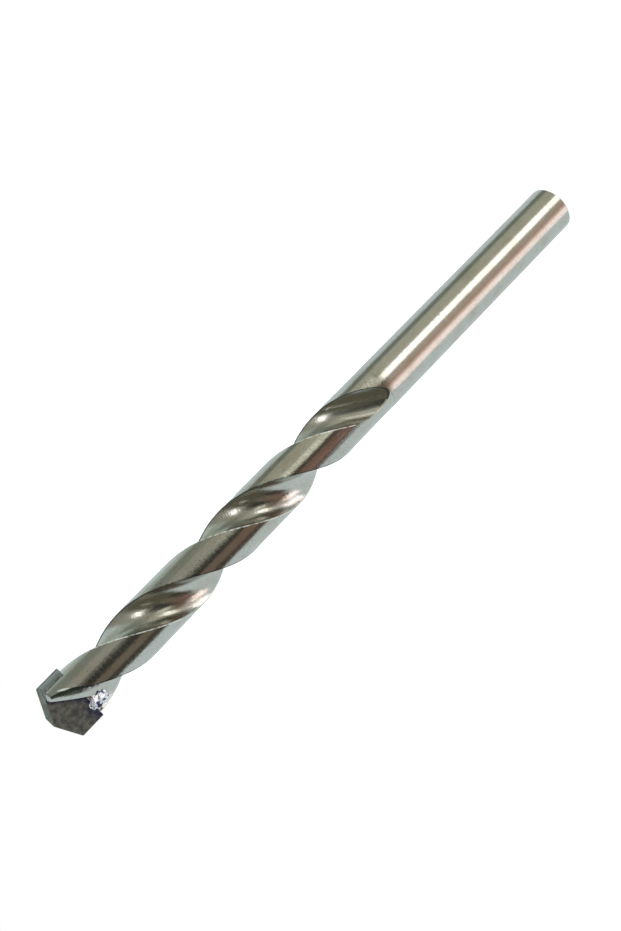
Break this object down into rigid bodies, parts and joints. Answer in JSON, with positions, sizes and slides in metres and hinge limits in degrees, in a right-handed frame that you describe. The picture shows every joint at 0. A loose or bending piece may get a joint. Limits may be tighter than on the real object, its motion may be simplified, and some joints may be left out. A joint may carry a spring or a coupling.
{
  "type": "masonry drill bit",
  "caption": "Straight-shank masonry drill bit with helical flutes and a brazed carbide cutting plate across the point.",
  "frame": {"origin": "centre of the shank's flat end face", "axes": "+Z along the drill's axis from the shank end to the point, +X along the cutting plate"},
  "size_m": [0.0118, 0.0102, 0.15],
  "materials": {
    "plated_steel": "bright nickel plating over ground steel",
    "tungsten_carbide": "sintered and ground, dull grey-brown",
    "brazing_alloy": "glossy as it froze"
  },
  "bodies": {
    "root": {"drill_body": "plated_steel", "carbide_tip": "tungsten_carbide", "braze_joint": "brazing_alloy"}
  },
  "joints": []
}
